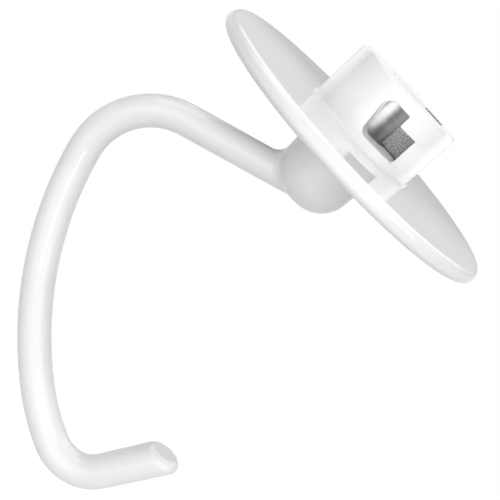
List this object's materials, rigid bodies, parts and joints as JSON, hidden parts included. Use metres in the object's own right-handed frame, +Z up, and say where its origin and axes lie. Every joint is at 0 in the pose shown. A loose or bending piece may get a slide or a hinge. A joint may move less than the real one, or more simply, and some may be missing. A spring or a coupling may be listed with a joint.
{
  "type": "dough hook",
  "caption": "White coated C-shaped dough hook for a stand mixer, with a dough-stop disc and a bayonet hub on a round bore.",
  "frame": {"origin": "on the bore's axis, where its straight wall begins, 1.2 mm below the hub's top face", "axes": "+Z up the bore and out of its mouth, -Y towards the hub's window, -X the way the arm leaves the neck"},
  "size_m": [0.1205, 0.11, 0.1797],
  "materials": {
    "white_coating": "gloss"
  },
  "bodies": {
    "root": {"dough_hook": "white_coating"}
  },
  "joints": []
}
